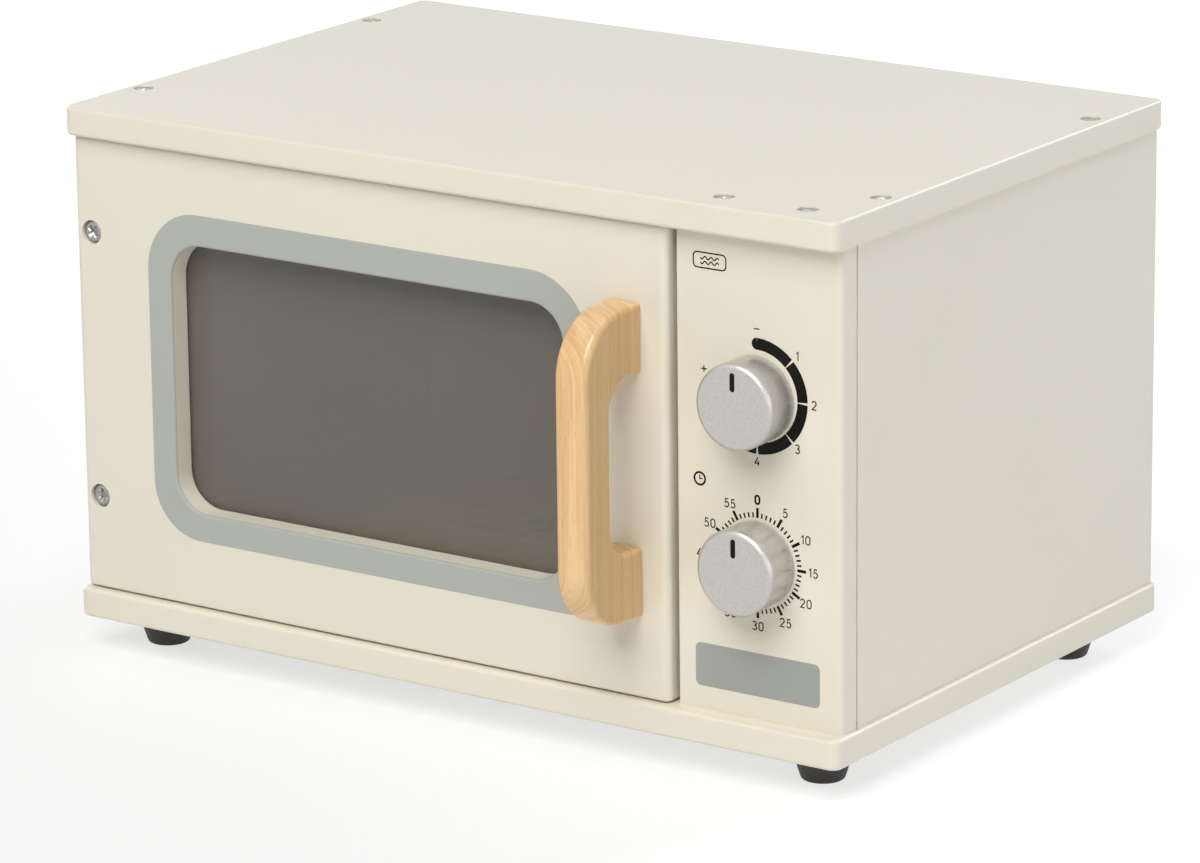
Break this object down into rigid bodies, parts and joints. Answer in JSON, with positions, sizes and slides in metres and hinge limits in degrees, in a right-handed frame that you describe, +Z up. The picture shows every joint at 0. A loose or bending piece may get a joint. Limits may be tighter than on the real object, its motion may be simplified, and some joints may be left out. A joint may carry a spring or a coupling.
{
  "type": "toy microwave oven",
  "caption": "Wooden toy microwave: painted board case on rubber feet, side-hung door with a round-cornered window and a beech handle, turning dials and a turntable disc.",
  "frame": {"origin": "on the ground, under the middle of the bounding box of the whole object, door closed", "axes": "+X along the front from the hinge side to the dial side, -Y is the way the door faces, +Z up"},
  "size_m": [0.3, 0.2262, 0.186],
  "materials": {
    "cream_paint": "board sprayed with warm off-white satin paint",
    "beech": "clear satin lacquer over straight grain",
    "black_rubber": "moulded, matt",
    "smoked_pane": "clear sheet tinted grey-brown",
    "silver_paint": "silver metallic paint, satin",
    "zinc_plated_steel": "zinc plated",
    "brassed_steel": "brass plated",
    "nickel_plated_magnet": "nickel plated"
  },
  "bodies": {
    "case": {"top_panel": "cream_paint", "bottom_panel": "cream_paint", "left_side_panel": "cream_paint", "right_side_panel": "cream_paint", "back_panel": "cream_paint", "partition_panel": "cream_paint", "control_fascia": "cream_paint", "top_screw_left_front": "zinc_plated_steel", "top_screw_left_rear": "zinc_plated_steel", "top_screw_right_front": "zinc_plated_steel", "top_screw_right_rear": "zinc_plated_steel", "top_screw_fascia_inner": "zinc_plated_steel", "top_screw_fascia_outer": "zinc_plated_steel", "bottom_screw_left_front": "zinc_plated_steel", "bottom_screw_left_rear": "zinc_plated_steel", "bottom_screw_right_front": "zinc_plated_steel", "bottom_screw_right_rear": "zinc_plated_steel", "bottom_screw_fascia_inner": "zinc_plated_steel", "bottom_screw_fascia_outer": "zinc_plated_steel", "foot_front_left": "black_rubber", "foot_front_right": "black_rubber", "foot_rear_left": "black_rubber", "foot_rear_right": "black_rubber", "foot_screw_front_left": "zinc_plated_steel", "foot_screw_front_right": "zinc_plated_steel", "foot_screw_rear_left": "zinc_plated_steel", "foot_screw_rear_right": "zinc_plated_steel", "hinge_case_leaf_upper": "brassed_steel", "hinge_case_leaf_lower": "brassed_steel", "hinge_pin_upper": "zinc_plated_steel", "hinge_pin_lower": "zinc_plated_steel", "hinge_screw_upper_top": "zinc_plated_steel", "hinge_screw_upper_bottom": "zinc_plated_steel", "hinge_screw_lower_top": "zinc_plated_steel", "hinge_screw_lower_bottom": "zinc_plated_steel", "catch_magnet": "nickel_plated_magnet", "turntable_spacer": "beech", "turntable_screw": "zinc_plated_steel"},
    "door": {"door_panel": "cream_paint", "window_pane": "smoked_pane", "pane_screw_upper_left": "zinc_plated_steel", "pane_screw_upper_right": "zinc_plated_steel", "pane_screw_lower_left": "zinc_plated_steel", "pane_screw_lower_right": "zinc_plated_steel", "handle": "beech", "handle_screw_upper": "zinc_plated_steel", "handle_screw_lower": "zinc_plated_steel", "door_bolt_upper": "zinc_plated_steel", "door_bolt_lower": "zinc_plated_steel", "hinge_door_leaf_upper": "brassed_steel", "hinge_door_leaf_lower": "brassed_steel", "catch_strike": "zinc_plated_steel", "catch_screw": "zinc_plated_steel"},
    "power_dial": {"power_knob": "silver_paint", "power_shaft": "zinc_plated_steel", "power_nut": "zinc_plated_steel"},
    "time_dial": {"time_knob": "silver_paint", "time_shaft": "zinc_plated_steel", "time_nut": "zinc_plated_steel"},
    "turntable": {"turntable_disc": "beech"}
  },
  "joints": [
    {"name": "door_hinge", "type": "hinge", "parent": "case", "child": "door", "pos_m": [-0.1485, -0.0727, 0.0988], "axis": [0, 0, -1], "range_deg": [0, 180]},
    {"name": "power_turn", "type": "hinge", "parent": "case", "child": "power_dial", "pos_m": [0.1173, -0.0802, 0.12525], "axis": [0, 1, 0], "continuous": true},
    {"name": "time_turn", "type": "hinge", "parent": "case", "child": "time_dial", "pos_m": [0.1173, -0.0802, 0.07235], "axis": [0, 1, 0], "continuous": true},
    {"name": "turntable_spin", "type": "hinge", "parent": "case", "child": "turntable", "pos_m": [-0.03155, 0.01345, 0.0298], "axis": [0, 0, 1], "continuous": true}
  ]
}
